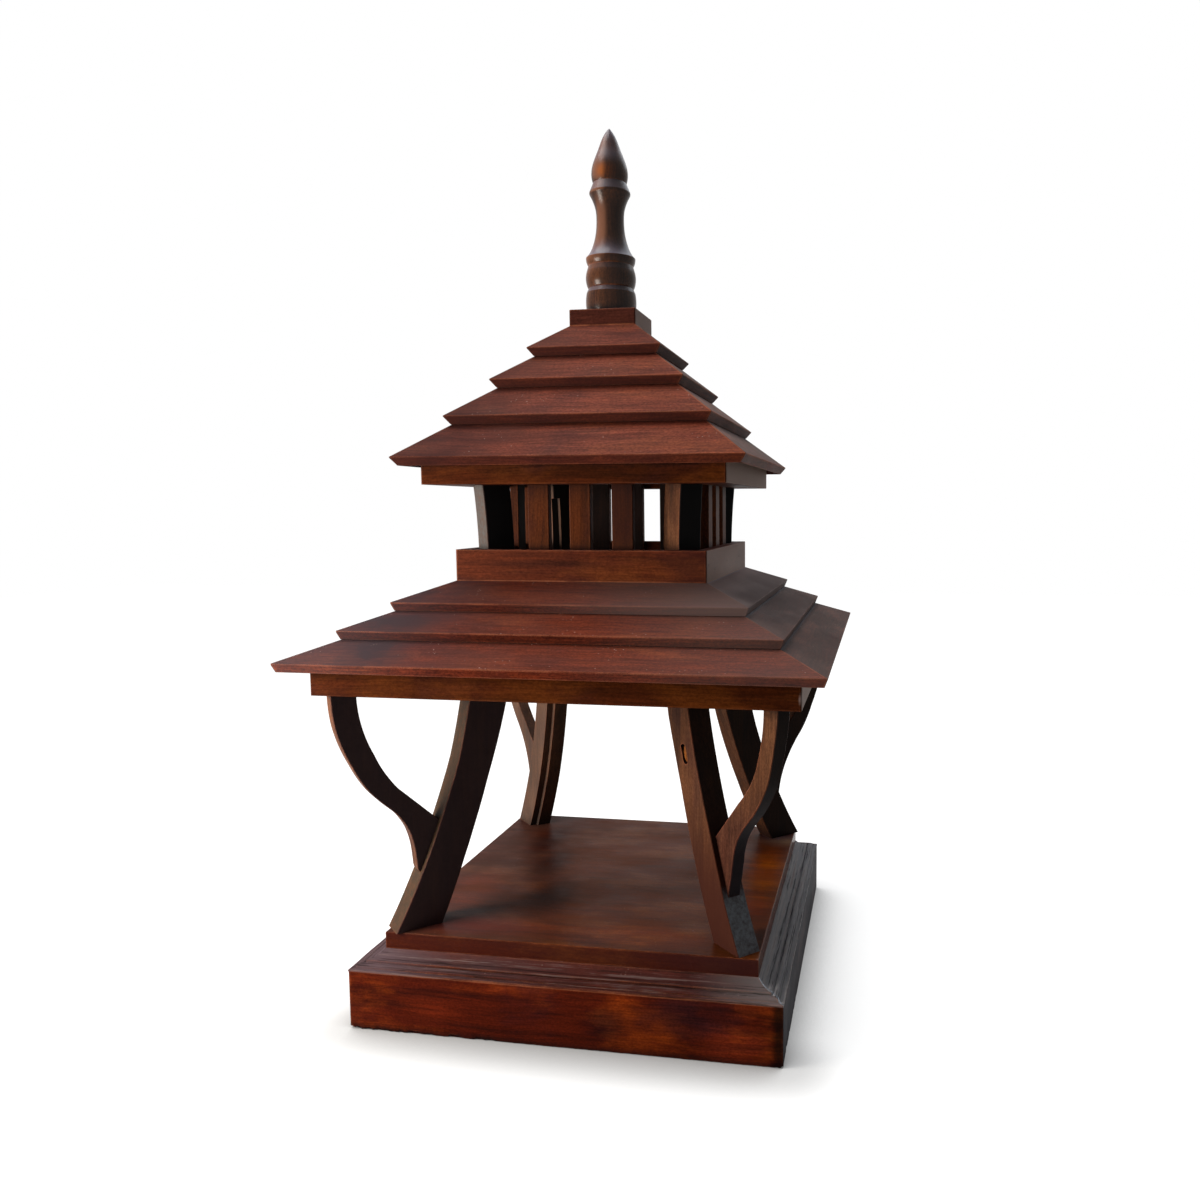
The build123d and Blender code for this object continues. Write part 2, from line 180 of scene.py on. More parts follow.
    tree.links.new(colour, shader.inputs["Base Color"])
    dull = sums(tree, "MULTIPLY_ADD", film, 0.35, roughness)
    dull = sums(tree, "ADD", dull, ramp(tree, clouds, 0.3, 0.7, 0.05, -0.05), clamp=True)
    tree.links.new(dull, shader.inputs["Roughness"])
    shader.inputs["Specular IOR Level"].default_value = gloss
    shader.inputs["Coat Weight"].default_value = coat
    shader.inputs["Coat Roughness"].default_value = 0.22

    waves = grain_noise(tree, stretched(tree, lying, 1, 2.2), 26.0, 2.0)
    height = sums(tree, "MULTIPLY_ADD", fibres, 0.18, waves)
    height = sums(tree, "MULTIPLY_ADD", pores, -0.25, height)
    bump = add(tree, "Bump", {"Height": height, "Strength": 0.30, "Distance": 0.0005})
    tree.links.new(bump.outputs[0], shader.inputs["Normal"])
    return material


def touched(material, mask, colour, way="MIX"):
    """Lays a colour over a finished wood where the mask, made from its tree, says."""
    tree = material.node_tree
    base = tree.nodes["Principled BSDF"].inputs["Base Color"]
    tree.links.new(blended(tree, mask(tree), base.links[0].from_socket, colour, way), base)


to_front, to_right, to_sky = (0, -1, 0), (1, 0, 0), (0, 0, 1)


def facing(tree, direction, low, high, most=1.0):
    """As much as is given on what faces a direction."""
    normal = add(tree, "NewGeometry", {}).outputs["Normal"]
    way = add(tree, "VectorMath", {0: normal, 1: direction}, operation="DOT_PRODUCT").outputs["Value"]
    return ramp(tree, way, low, high, 0.0, most)


def between(tree, axis, start, end, most=1.0):
    """Rises to the most given as a coordinate goes from start to end."""
    spot = add(tree, "SeparateXYZ", {0: own_place(tree)}).outputs
    return ramp(tree, spot[axis], start, end, 0.0, most)


def patch(tree, centre, radii, most=1.0, ragged=1.4):
    """A ragged spot round a place, drawn out along X, with its reach along each axis."""
    place = own_place(tree)
    off = add(tree, "VectorMath", {0: place, 1: centre}, operation="SUBTRACT").outputs["Vector"]
    off = add(tree, "VectorMath", {0: off, 1: radii}, operation="DIVIDE").outputs["Vector"]
    far = add(tree, "VectorMath", {0: off}, operation="LENGTH").outputs["Value"]
    edge = grain_noise(tree, stretched(tree, place, 1, 5), 26.0, 6.0, 0.65)
    far = sums(tree, "MULTIPLY_ADD", edge, ragged, far)
    return ramp(tree, far, 0.20 + ragged / 2, 1.25 + ragged / 2, most, 0.0)


def finish_wood(node, material):
    nodes[node].data.materials.clear()
    nodes[node].data.materials.append(material)


skirt_half, skirt_depth, skirt_tall = 0.1825, 0.022, 0.050
side_turns = {"front": 0, "right": 1, "back": 2, "left": 3}
# How far each corner of the plinth is rounded up at the foot, and where the lower arris is broken.
corner_rounds = (0.0078, 0.0030, 0.0035, 0.0030)
chipped_from, chipped_to = -0.180, -0.055
bruised_tall, sound_tall, bruised_deep = 0.0024, 0.0070, 0.0018
# Cuts near a board's end: the place, the share of the corner's round, and the easing up the arris.
end_cuts = ((0.1825, 1.0, 0.0007), (0.1818, 0.62, 0.00025), (0.1808, 0.40, 0.0001),
            (0.1795, 0.24, 0), (0.1775, 0.12, 0), (0.1750, 0.05, 0))
cut_count, cut_pitch, cut_start, cut_stray = 108, 0.0032, -0.1720, 0.001
foot_band, near_enough = 0.0007, 2e-5
# How far the lower arris is knocked in and up by bruises, what a break-out adds to that, and how far
# it moves the top of the bruised band.
bruise_in, bruise_up = 0.0004, 0.0003
break_in, break_up = 0.0015, 0.0022
band_in, band_up = 0.0006, 0.0004


def blank(name, low, high):
    """A squared block between two corners, left in edit mode to be shaped."""
    bpy.ops.object.select_all(action="DESELECT")
    bpy.ops.mesh.primitive_cube_add(size=1)
    piece = bpy.context.object
    piece.name = name
    bpy.ops.object.mode_set(mode="EDIT")
    bpy.ops.mesh.select_mode(type="VERT")
    bpy.ops.transform.resize(value=[b - a for a, b in zip(low, high)])
    bpy.ops.transform.translate(value=[(a + b) / 2 for a, b in zip(low, high)])
    return piece


def choose(piece, test):
    """Selects the corners, in edit mode, that pass a test of their place."""
    shape = bmesh.from_edit_mesh(piece.data)
    for corner in shape.verts:
        corner.select = test(corner.co)
    shape.select_flush_mode()
    bmesh.update_edit_mesh(piece.data)


def pushed(piece, test, move):
    choose(piece, test)
    bpy.ops.transform.translate(value=move)


def scored(place, across):
    """A row of new edges where a plane crosses the piece."""
    bpy.ops.mesh.select_all(action="SELECT")
    bpy.ops.mesh.bisect(plane_co=place, plane_no=across)


def sawn_off(place, across):
    """Cuts the piece at a plane and drops what lies on the side that the plane faces."""
    bpy.ops.mesh.select_all(action="SELECT")
    bpy.ops.mesh.bisect(plane_co=place, plane_no=across, clear_outer=True, use_fill=True)


def mitred_ends():
    sawn_off((0, 0, 0), (1, 1, 0))
    sawn_off((0, 0, 0), (-1, 1, 0))


def turned(quarters):
    """Turns the whole mesh, in edit mode, about the upright axis from the front to its side."""
    bpy.ops.mesh.select_all(action="SELECT")
    bpy.ops.transform.rotate(value=-quarters * math.pi / 2, orient_axis="Z", center_override=(0, 0, 0))


def done(piece, material, slot, *replaced, smooth=35):
    """Closes a piece's modelling, gives it its finish, hangs it on the root and hides the CAD parts it
    stands for.
    """
    bpy.ops.mesh.select_all(action="SELECT")
    bpy.ops.mesh.normals_make_consistent(inside=False)
    bpy.ops.object.mode_set(mode="OBJECT")
    bpy.ops.object.shade_smooth_by_angle(angle=math.radians(smooth))
    piece.data.materials.clear()
    piece.data.materials.append(material)
    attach(piece, "root")
    if replaced:
        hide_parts(*replaced)


def at(*goal):
    """A test for corners whose x, y and z are those given, where None lets any pass."""
    return lambda co: all(g is None or abs(c - g) < near_enough for c, g in zip(co, goal))


skirt_body = (0.085, 0.0100, 0.0035, 1)
skirt_streak = (0.036, 0.0055, 0.0030, 1)
skirt_glow = (0.260, 0.0420, 0.0060, 1)
# Smoky and ruddy places on the front board: where, how far along and up, and the tint.
skirt_marks = (
    ((0.0378, 0.022), (0.020, 0.017), (0.42, 0.55, 1.30, 1)),
    ((0.1450, 0.018), (0.032, 0.020), (2.40, 2.60, 2.40, 1)),
    ((-0.110, 0.024), (0.030, 0.014), (1.60, 1.60, 1.30, 1)),
    ((0.0500, 0.046), (0.160, 0.006), (1.50, 1.40, 1.10, 1)),
    ((0.1790, 0.025), (0.007, 0.080), (0.16, 0.25, 0.45, 1)))
painted_blue_shade = (0.015, 0.018, 0.023, 1)
for side, quarters in side_turns.items():
    wood = old_wood("skirt_wood_" + side, "XY"[quarters % 2], skirt_body, skirt_streak, skirt_glow,
                    quarters + 1.0, patches=0.8, plums=0.7, dust=0.5, specks=0.3, wear_and_glint=0.6,
                    gloss=0.012 if side == "right" else 0.025)
    if side == "front":
        for (x, z), (along, up), tint in skirt_marks:
            touched(wood, lambda tree: patch(tree, (x, -skirt_half, z), (along, 1, up)), tint, "MULTIPLY")
    if side == "right":
        # Painted shade: the right-hand face is darkened to blue-grey.
        touched(wood, lambda tree: facing(tree, to_right, 0.5, 0.8, 0.90), painted_blue_shade)
    board = blank("skirt_" + side, (-skirt_half, -skirt_half, 0),
                  (skirt_half, -skirt_half + skirt_depth, skirt_tall))
    mitred_ends()
    scored((0, 0, bruised_tall), (0, 0, 1))
    scored((0, 0, sound_tall), (0, 0, 1))
    scored((0, -skirt_half + bruised_deep, 0), (0, 1, 0))
    hand = random.Random(quarters + 5)
    steps = [-x for x, share, eased in end_cuts[1:]]
    steps += [cut_start + cut_pitch * n + hand.uniform(-cut_stray, cut_stray) for n in range(cut_count)]
    steps += [x for x, share, eased in reversed(end_cuts[1:])]
    for x in steps:
        scored((x, 0, 0), (1, 0, 0))
    for x in steps[3:-3]:
        # The lower arris is bruised all along, and broken out where the board was dragged.
        break_out = hand.random() ** 3 if chipped_from < x < chipped_to else 0.12 * hand.random()
        pushed(board, at(x, -skirt_half, 0),
               (0, bruise_in + break_in * break_out, bruise_up + break_up * break_out))
        pushed(board, at(x, -skirt_half, bruised_tall), (0, band_in * break_out, band_up * break_out))
    for end, sign in ((corner_rounds[quarters], -1), (corner_rounds[(quarters + 1) % 4], 1)):
        # The end corners are rounded at the foot, and a little all the way up.
        for place, share, eased in end_cuts:
            x = sign * place
            inward = -sign * eased if abs(x) == skirt_half else 0
            pushed(board, at(x, -skirt_half, None), (inward, eased, 0))
            choose(board, lambda co: co.z < foot_band and abs(co.x - inward - x) < near_enough)
            bpy.ops.transform.translate(value=(0, 0, end * share))
    turned(quarters)
    done(board, wood, "plinth_wood", "base_board_" + side)


# ---------------------------------------------------------------- plinth moulding
# Lengths of run moulding with a flat ledge, a bead and a hollow, mitred round the floor board.
# Same stain as the skirt, but the upward faces hold years of grey dust.
# The right-hand ends are greyed and streaked, partly dust and partly painted sheen.

moulding_foot, moulding_head, moulding_back = 0.050, 0.0616, 0.150
# Its profile from the lip inwards: distance from the middle of the house, and height.
moulding_shape = (
    (0.18250, 0.05110), (0.18215, 0.05140), (0.17900, 0.05150), (0.17875, 0.05085), (0.17840, 0.05085),
    (0.17815, 0.05240), (0.17740, 0.05350), (0.17620, 0.05425), (0.17480, 0.05450), (0.17350, 0.05425),
    (0.17275, 0.05370), (0.17250, 0.05300), (0.17215, 0.05300), (0.17190, 0.05505), (0.17170, 0.05550),
    (0.17000, 0.05565), (0.16860, 0.05580), (0.16660, 0.05635), (0.16460, 0.05745), (0.16280, 0.05890),
    (0.16140, 0.06060), (0.16060, 0.06160))
moulding_body = (0.078, 0.0150, 0.0090, 1)
moulding_streak = (0.036, 0.0100, 0.0080, 1)
moulding_glow = (0.130, 0.032, 0.0180, 1)
pink_film = (0.066, 0.030, 0.030, 1)
lilac_film = (0.070, 0.036, 0.037, 1)
pale_scratch = (0.200, 0.140, 0.132, 1)
grey_dust_and_sheen = (0.380, 0.372, 0.382, 1)
lilac_edge = (0.120, 0.088, 0.104, 1)
pale_dust_and_sheen = (0.520, 0.480, 0.470, 1)


def run_lines(tree, grain, low, high, most):
    """Long thin scratches that lie along a run of moulding."""
    place = own_place(tree)
    lying = add(tree, "Mapping", {"Vector": place, "Rotation": grain_turns[grain]}).outputs[0]
    lines = grain_noise(tree, stretched(tree, lying, 1, 34), 9.0, 5.0, 0.7)
    return ramp(tree, lines, low, high, 0.0, most)


wave_cuts, wave_pitch, wave_start = 60, 0.006, -0.18
wavering = bpy.data.textures.new("wavering", "CLOUDS")
wavering.noise_scale = 0.018
for part, pair, grain in (("front_back", ("front", "back"), "X"), ("sides", ("right", "left"), "Y")):
    wood = old_wood("moulding_wood_" + part, grain, moulding_body, moulding_streak, moulding_glow,
                    6.0 + side_turns[pair[0]], patches=0.5, plums=0.5, dust=0.55, dust_colour=pink_film,
                    left_share=0.9, left_colour=lilac_film, settles=0.15, specks=0.5, wear_and_glint=0.8,
                    crease=0.006, mitred=True, gloss=0.04)
    touched(wood, lambda tree: between(tree, "X", -0.09, -0.175, 0.55), lilac_edge)
    # Painted sheen with dust: the right-hand ends are greyed, and the right-hand run streaked pale.
    if part == "sides":
        touched(wood, lambda tree: between(tree, "X", 0.130, 0.160, 0.88), grey_dust_and_sheen)
        touched(wood, lambda tree: both(tree, between(tree, "X", 0.100, 0.150),
                                        run_lines(tree, grain, 0.50, 0.60, 0.90)), pale_dust_and_sheen)
    else:
        touched(wood, lambda tree: between(tree, "X", 0.100, 0.180, 0.35), grey_dust_and_sheen)
    touched(wood, lambda tree: run_lines(tree, grain, 0.46, 0.38, 0.70), grime_and_shade)
    touched(wood, lambda tree: run_lines(tree, grain, 0.55, 0.64, 0.60), pale_scratch)
    runs = []
    for side in pair:
        strip = blank("moulding_" + side, (-skirt_half, -skirt_half, moulding_foot),
                      (skirt_half, -moulding_back, moulding_head))
        mitred_ends()
        for distance, height in moulding_shape[1:]:
            scored((0, -distance, 0), (0, 1, 0))
        for distance, height in moulding_shape:
            pushed(strip, at(None, -distance, moulding_head), (0, 0, height - moulding_head))
        for n in range(1, wave_cuts):
            scored((wave_start + wave_pitch * n, 0, 0), (1, 0, 0))
        turned(side_turns[side])
        bpy.ops.mesh.select_all(action="SELECT")
        bpy.ops.mesh.normals_make_consistent(inside=False)
        bpy.ops.object.mode_set(mode="OBJECT")
        bpy.ops.object.modifier_add(type="DISPLACE")
        worn = strip.modifiers[-1]
        worn.texture = wavering
        worn.strength = 0.0007
        bpy.ops.object.modifier_apply(modifier=worn.name)
        runs.append(strip)
    runs[0].select_set(True)
    bpy.context.view_layer.objects.active = runs[0]
    bpy.ops.object.join()
    runs[0].name = "moulding_" + part
    bpy.ops.object.mode_set(mode="EDIT")
    done(runs[0], wood, "plinth_wood", "base_moulding_" + part)

# A bead of old glue dried along the front right mitre, curled where it was squeezed out.
glue_dark, glue_light = (0.10, 0.12, 0.15, 1), (0.36, 0.40, 0.50, 1)
bead_radius, bead_stray = 0.00045, 0.0009
glue = bpy.data.materials.new("dried_glue")
glue.use_nodes = True
tree = glue.node_tree
lumps = grain_noise(tree, own_place(tree), 700.0, 3.0)
dried = blended(tree, ramp(tree, lumps, 0.35, 0.65), glue_dark, glue_light)
tree.links.new(dried, tree.nodes["Principled BSDF"].inputs["Base Color"])
tree.nodes["Principled BSDF"].inputs["Roughness"].default_value = 0.45
hand = random.Random(11)
# Its way up the moulding: distance from the middle along both X and Y, and height.
bead_way = ((0.1612, 0.0612), (0.1640, 0.0585), (0.1668, 0.0569), (0.1700, 0.0562), (0.1722, 0.0560),
            (0.1745, 0.0549), (0.1768, 0.0546), (0.1786, 0.0528), (0.1803, 0.0520), (0.1819, 0.0519))
bpy.ops.object.select_all(action="DESELECT")
bpy.ops.mesh.primitive_circle_add(vertices=8, radius=bead_radius, fill_type="NGON")
bead = bpy.context.object
bead.name = "glue_bead"
bpy.ops.object.mode_set(mode="EDIT")
bpy.ops.transform.translate(value=(bead_way[0][0], -bead_way[0][0], bead_way[0][1]))
for (near, low), (far, high) in zip(bead_way, bead_way[1:]):
    stray = hand.uniform(-bead_stray, bead_stray)
    bpy.ops.mesh.extrude_region_move(TRANSFORM_OT_translate={
        "value": (far - near + stray, near - far + stray, high - low)})
done(bead, glue, "plinth_wood", smooth=80)


# ---------------------------------------------------------------- floor board
# One glued-up hardwood board, 14 mm thick, dropped on the moulding. It was varnished glossy and is
# rubbed by the offerings set down on it.

floor_body = (0.082, 0.0140, 0.0035, 1)
floor_streak = (0.045, 0.0080, 0.0030, 1)
floor_glow = (0.190, 0.050, 0.0080, 1)
# The film on the top is rubbed varnish, and also a painted warm reflection.
rubbed_varnish_and_reflection = (0.105, 0.028, 0.0060, 1)
pale_film = (0.060, 0.026, 0.019, 1)
floor_wood = old_wood(
    "floor_wood", "X", floor_body, floor_streak, floor_glow, 9.0,
    patches=0.6, plums=0.3, dust=0.50, specks=0.2, wear_and_glint=1.0, roughness=0.28, gloss=0.04, crease=0.04,
    dust_colour=rubbed_varnish_and_reflection, left_share=0.4, left_colour=pale_film)
floor_top = 0.076
front_edge_red = (0.050, 0.0075, 0.0055, 1)
chalky_chip = (0.38, 0.38, 0.40, 1)
# Its middle is worn yellow-brown, spills have left redder places, and one side is orange.
floor_marks = (
    ((0.030, 0.010), (0.120, 0.150), (1.35, 1.30, 0.85, 1)),
    # Painted reflection of a post: a streak of three darker places.
    ((-0.100, 0.078), (0.020, 0.055), (0.45, 0.35, 0.35, 1)),
    ((-0.074, 0.010), (0.022, 0.055), (0.40, 0.32, 0.28, 1)),
    ((-0.048, -0.060), (0.026, 0.055), (0.36, 0.30, 0.25, 1)),
    ((-0.125, -0.060), (0.030, 0.050), (1.80, 1.50, 1.30, 1)),
    ((0.143, 0.030), (0.022, 0.060), (2.60, 2.30, 0.90, 1)),
    ((0.142, -0.055), (0.018, 0.024), (1.60, 1.20, 0.90, 1)),
    ((0.060, -0.132), (0.090, 0.022), (1.80, 1.60, 0.90, 1)),
    ((-0.100, -0.134), (0.080, 0.022), (1.60, 1.20, 1.60, 1)),
    ((0.100, -0.112), (0.022, 0.015), (1.40, 2.20, 5.00, 1)),
    ((0.152, 0.120), (0.032, 0.024), (1.20, 2.60, 8.00, 1)))
for (x, y), (along, deep), tint in floor_marks:
    touched(floor_wood, lambda tree: both(tree, patch(tree, (x, y, floor_top), (along, deep, 1), 1.0, 0.9),
                                          facing(tree, to_sky, 0.5, 0.8)), tint, "MULTIPLY")
# Painted shade: the front edge darkens towards the right.
touched(floor_wood, lambda tree: both(tree, between(tree, "X", 0.04, 0.15, 0.65),
                                      facing(tree, to_front, 0.6, 0.9)), plum_stain_and_shade)
touched(floor_wood, lambda tree: facing(tree, to_front, 0.6, 0.9, 0.55), front_edge_red)
touched(floor_wood, lambda tree: patch(tree, (0.1590, -0.1595, 0.0775), (0.0025, 0.0030, 0.0020)),
        chalky_chip)
finish_wood("floor_board", floor_wood)


# ---------------------------------------------------------------- corner posts
# Four posts sawn to a curve from 22 mm board and set on the diagonals. They run from the floor
# board up through the lower roof, and carry the upper beams. Stained a darker brown.

post_body = (0.110, 0.042, 0.019, 1)
post_streak = (0.052, 0.022, 0.012, 1)
post_glow = (0.185, 0.078, 0.034, 1)
sawn_grey = (0.380, 0.410, 0.450, 1)
corners = {"front_left": (-1, -1), "front_right": (1, -1), "back_right": (1, 1), "back_left": (-1, 1)}
to_front_right, to_back_right = (0.707, -0.707, 0), (0.707, 0.707, 0)


def outer_edge(tree, corner, low, high):
    """1 on the post's rough outer edge, below the high level."""
    x, y = corners[corner]
    rough = grain_noise(tree, own_place(tree), 260.0, 5.0, 0.75)
    kept = both(tree, facing(tree, (x * 0.7071, y * 0.7071, 0.0), 0.80, 0.90),
                ramp(tree, rough, 0.30, 0.70, 0.35, 1.0))
    return both(tree, kept, between(tree, "Z", high, low))


def worked_copy(node, name):
    """A copy of a CAD piece's mesh, its corners merged, left in edit mode to be shaped."""
    bpy.ops.object.select_all(action="DESELECT")
    piece = bpy.data.objects.new(name, nodes[node].data.copy())
    bpy.context.scene.collection.objects.link(piece)
    piece.select_set(True)
    bpy.context.view_layer.objects.active = piece
    bpy.ops.mesh.customdata_custom_splitnormals_clear()
    bpy.ops.object.mode_set(mode="EDIT")
    bpy.ops.mesh.select_mode(type="VERT")
    bpy.ops.mesh.select_all(action="SELECT")
    bpy.ops.mesh.remove_doubles(threshold=1e-6)
    return piece


def read_off(table, height):
    """Reads a table of (height, value) in mm, with straight lines between its rows."""
    height *= 1000
    if height <= table[0][0]:
        return table[0][1] / 1000
    for (low, before), (high, after) in zip(table, table[1:]):
        if height <= high:
            return (before + (after - before) * (height - low) / (high - low)) / 1000
    return table[-1][1] / 1000


def recut(piece, corner, middle, outer, inner):
    """Moves a curved piece's outer and inner outlines out along its corner's diagonal."""
    x, y = (sign * math.sqrt(0.5) for sign in corners[corner])
    for level in sorted({round(v.co.z, 4) for v in bmesh.from_edit_mesh(piece.data).verts}):
        centre = read_off(middle, level)
        for table, outside in ((outer, True), (inner, False)):
            far = read_off(table, level)
            choose(piece, lambda co: round(co.z, 4) == level and (co.x * x + co.y * y > centre) == outside)
            bpy.ops.transform.translate(value=(x * far, y * far, 0))


# Each curve was sawn by eye, so the four posts differ by a few mm. Heights and moves are in mm, and
# each corner has a table for its outer outline and one for its inner.
post_middle = ((76, 197), (120, 175), (160, 157), (200, 145), (240, 134), (285, 126), (313, 122),
               (470, 122))
post_cuts = {
    "front_left": (((76, 6.0), (113, 6.5), (170, 6.8), (191, 6.4), (216, 5.7), (258, 6.6), (299, 6.6),
                    (312, 0)),
                   ((76, 1.3), (102, 3.2), (129, 5.1), (160, 6.0), (200, 6.0), (241, 4.0), (285, 2.0),
                    (312, 0))),
    "front_right": (((76, 0), (110, 0), (140, 1.5), (165, 2.0), (204, 0.2), (245, -1.8), (299, -3.5),
                     (312, 0)),
                    ((76, 0), (110, 0), (150, 0.8), (198, 0.6), (227, -1.5), (255, -4.4), (299, -5.0),
                     (312, 0))),
    "back_right": (((76, 6.5), (100, 5.5), (151, 3.9), (204, 2.3), (299, 2.0), (312, 0)),
                   ((76, 4.0), (143, 3.2), (198, 1.1), (240, 0), (312, 0))),
    "back_left": (((76, 0), (140, 1.0), (178, 3.0), (220, 6.0), (299, 7.5), (312, 0)),
                  ((76, 0), (140, 1.0), (178, 3.0), (220, 6.0), (299, 7.5), (312, 0)))}
edge_grey = (0.040, 0.031, 0.021, 1)
shaded_side = (0.026, 0.028, 0.030, 1)
shade_black = (0.0105, 0.0105, 0.0110, 1)
plum_shade = (0.0700, 0.0490, 0.0540, 1)
lit_grey_face = (0.085, 0.072, 0.062, 1)
ruddy_foot = (0.050, 0.0150, 0.0100, 1)
fresh_chip = (0.550, 0.2000, 0.0500, 1)
# Painted shade on one face of three posts, and painted light on the front faces of the back left
# one: which faces, how strongly, and to what colour.
face_light_and_shade = {
    "front_left": ((to_front_right, 0.6, 0.8, 0.80), plum_shade),
    "front_right": ((to_back_right, 0.5, 0.8, 0.85), shaded_side),
    "back_right": ((to_front_right, 0.5, 0.8, 0.80), shade_black),
    "back_left": ((to_front, 0.2, 0.6, 0.35), lit_grey_face)}
for seed, corner in enumerate(corners):
    wood = old_wood("post_wood_" + corner, "Z", post_body, post_streak, post_glow, seed + 11.0,
                    patches=0.5, dust=0.4, specks=0.2, wear_and_glint=0.7, crease=0.04)
    mask, tint = face_light_and_shade[corner]
    touched(wood, lambda tree: facing(tree, *mask), tint)
    # Painted shade on the front-right faces of each post's upper part.
    touched(wood, lambda tree: both(tree, between(tree, "Z", 0.350, 0.362, 0.92),
                                    facing(tree, to_front_right, 0.4, 0.8)), shade_black)
    if corner == "front_right":
        # Painted shade on its front-right faces above the foot.
        touched(wood, lambda tree: both(tree, between(tree, "Z", 0.126, 0.150, 0.70),
                                        facing(tree, to_front_right, 0.4, 0.8)), shade_black)
        touched(wood, lambda tree: between(tree, "Z", 0.210, 0.110, 0.92), ruddy_foot)
        touched(wood, lambda tree: patch(tree, (0.1348, -0.1503, 0.108), (0.0018, 0.0018, 0.0040)),
                fresh_chip)
        touched(wood, lambda tree: outer_edge(tree, corner, 0.112, 0.128), sawn_grey)
    else:
        touched(wood, lambda tree: outer_edge(tree, corner, 0.46, 0.47), edge_grey)
        touched(wood, lambda tree: both(tree, outer_edge(tree, corner, 0.46, 0.47),
                                        between(tree, "Z", 0.36, 0.37, 0.14)), sawn_grey)
    post = worked_copy("corner_post_" + corner, "post_" + corner)
    recut(post, corner, post_middle, *post_cuts[corner])
    done(post, wood, "post_wood", "corner_post_" + corner)


# ---------------------------------------------------------------- knot
# A loose knot sits in an oval hole in the front right post, orange where the stain never took.

knot_body = (0.230, 0.070, 0.014, 1)
knot_streak = (0.110, 0.034, 0.010, 1)
knot_glow = (0.330, 0.110, 0.020, 1)
knot_radii, knot_centre = (0.0025, 0.0017, 0.0072), (0.0906, -0.1030, 0.2260)
knot_tilt, knot_slice, knot_strays = 0.255, 0.0012, (0.0004, 0.0002)
knot_wood = old_wood("knot_wood", "Z", knot_body, knot_streak, knot_glow, 59.0, patches=0.6, plums=0.2,
                     dust=0.0, specks=0.0, crease=0.004)
bpy.ops.object.select_all(action="DESELECT")
bpy.ops.mesh.primitive_uv_sphere_add(segments=20, ring_count=12, radius=1)
knot = bpy.context.object
knot.name = "loose_knot"
bpy.ops.object.mode_set(mode="EDIT")
bpy.ops.transform.resize(value=knot_radii)
hand = random.Random(3)
for level in range(-5, 6):
    choose(knot, lambda co: abs(co.z - level * knot_slice) < knot_slice / 2)
    aside, ahead = (hand.uniform(-reach, reach) for reach in knot_strays)
    bpy.ops.transform.translate(value=(aside, ahead, 0))
bpy.ops.mesh.select_all(action="SELECT")
bpy.ops.transform.rotate(value=knot_tilt, orient_axis="Y", center_override=(0, 0, 0))
bpy.ops.transform.rotate(value=math.pi / 4, orient_axis="Z", center_override=(0, 0, 0))
bpy.ops.transform.translate(value=knot_centre)
done(knot, knot_wood, "post_wood", smooth=60)


# ---------------------------------------------------------------- brackets
# An S-shaped bracket stands outside each post, sawn from 12 mm board, glued to the post's foot and
# under the lower beams.

bracket_middle = ((117, 190.6), (127, 191), (145, 189), (163, 189), (184, 206), (199, 220), (215, 232),
                  (240, 246), (285, 253))
bracket_cuts = {
    "front_left": (((118, 0), (122, 2.5), (126, 5.6), (137, 4.8), (148, 3.3), (163, 1.4), (176, 1.2),
                    (187, 2.7), (201, 3.3), (224, 2.0), (258, 2.6), (285, 2.4)),
                   ((117, 0), (160, 1.5), (165, 3.1), (199, 3.9), (209, 2.4), (231, 0), (285, 0))),
    "front_right": (((118, 0.3), (134, 2.7), (148, 1.7), (156, 0), (169, -2.0), (194, -2.0), (224, -2.6),
                     (241, -4.7), (254, -5.5), (285, -4.4)),
                    ((117, 0), (160, 1.0), (170, 2.5), (184, 0.5), (199, -2.4), (216, -1.5), (231, -1.9),
                     (247, -3.5), (285, -4.6))),
    "back_right": (((118, 4.0), (163, 6.5), (176, 6.7), (187, 6.0), (201, 3.2), (216, 0.6), (230, 0)),
                   ((117, 0), (160, 2.0), (185, 3.0), (216, 0.6), (230, 0))),
    "back_left": (((118, 0), (163, 2.0), (220, 5.0), (285, 6.0)),
                  ((117, 0), (163, 2.0), (220, 5.0), (285, 6.0)))}
plum_tint = (0.66, 0.60, 0.78, 1)
for seed, corner in enumerate(corners):
    wood = old_wood("bracket_wood_" + corner, "Z", post_body, post_streak, post_glow, seed + 16.0,
                    patches=0.5, dust=0.4, specks=0.2, wear_and_glint=0.8, crease=0.02)
    # Painted shade and light as on the posts; the front right bracket has painted shade on its front-right
    # faces.
    mask, tint = face_light_and_shade[corner]
    if corner == "front_right":
        mask, tint = (to_front_right, 0.5, 0.8, 0.9), shade_black
    touched(wood, lambda tree: facing(tree, *mask), tint)
    if corner == "front_right":
        touched(wood, lambda tree: between(tree, "Z", 0.235, 0.160), plum_tint, "MULTIPLY")
    bracket = worked_copy("bracket_" + corner, "sawn_bracket_" + corner)
    recut(bracket, corner, bracket_middle, *bracket_cuts[corner])
    done(bracket, wood, "post_wood", "bracket_" + corner)


# ---------------------------------------------------------------- beams
# Square frames of board on edge, mitred, one under each roof. They show the thinnest stain, with
# orange-brown patches.

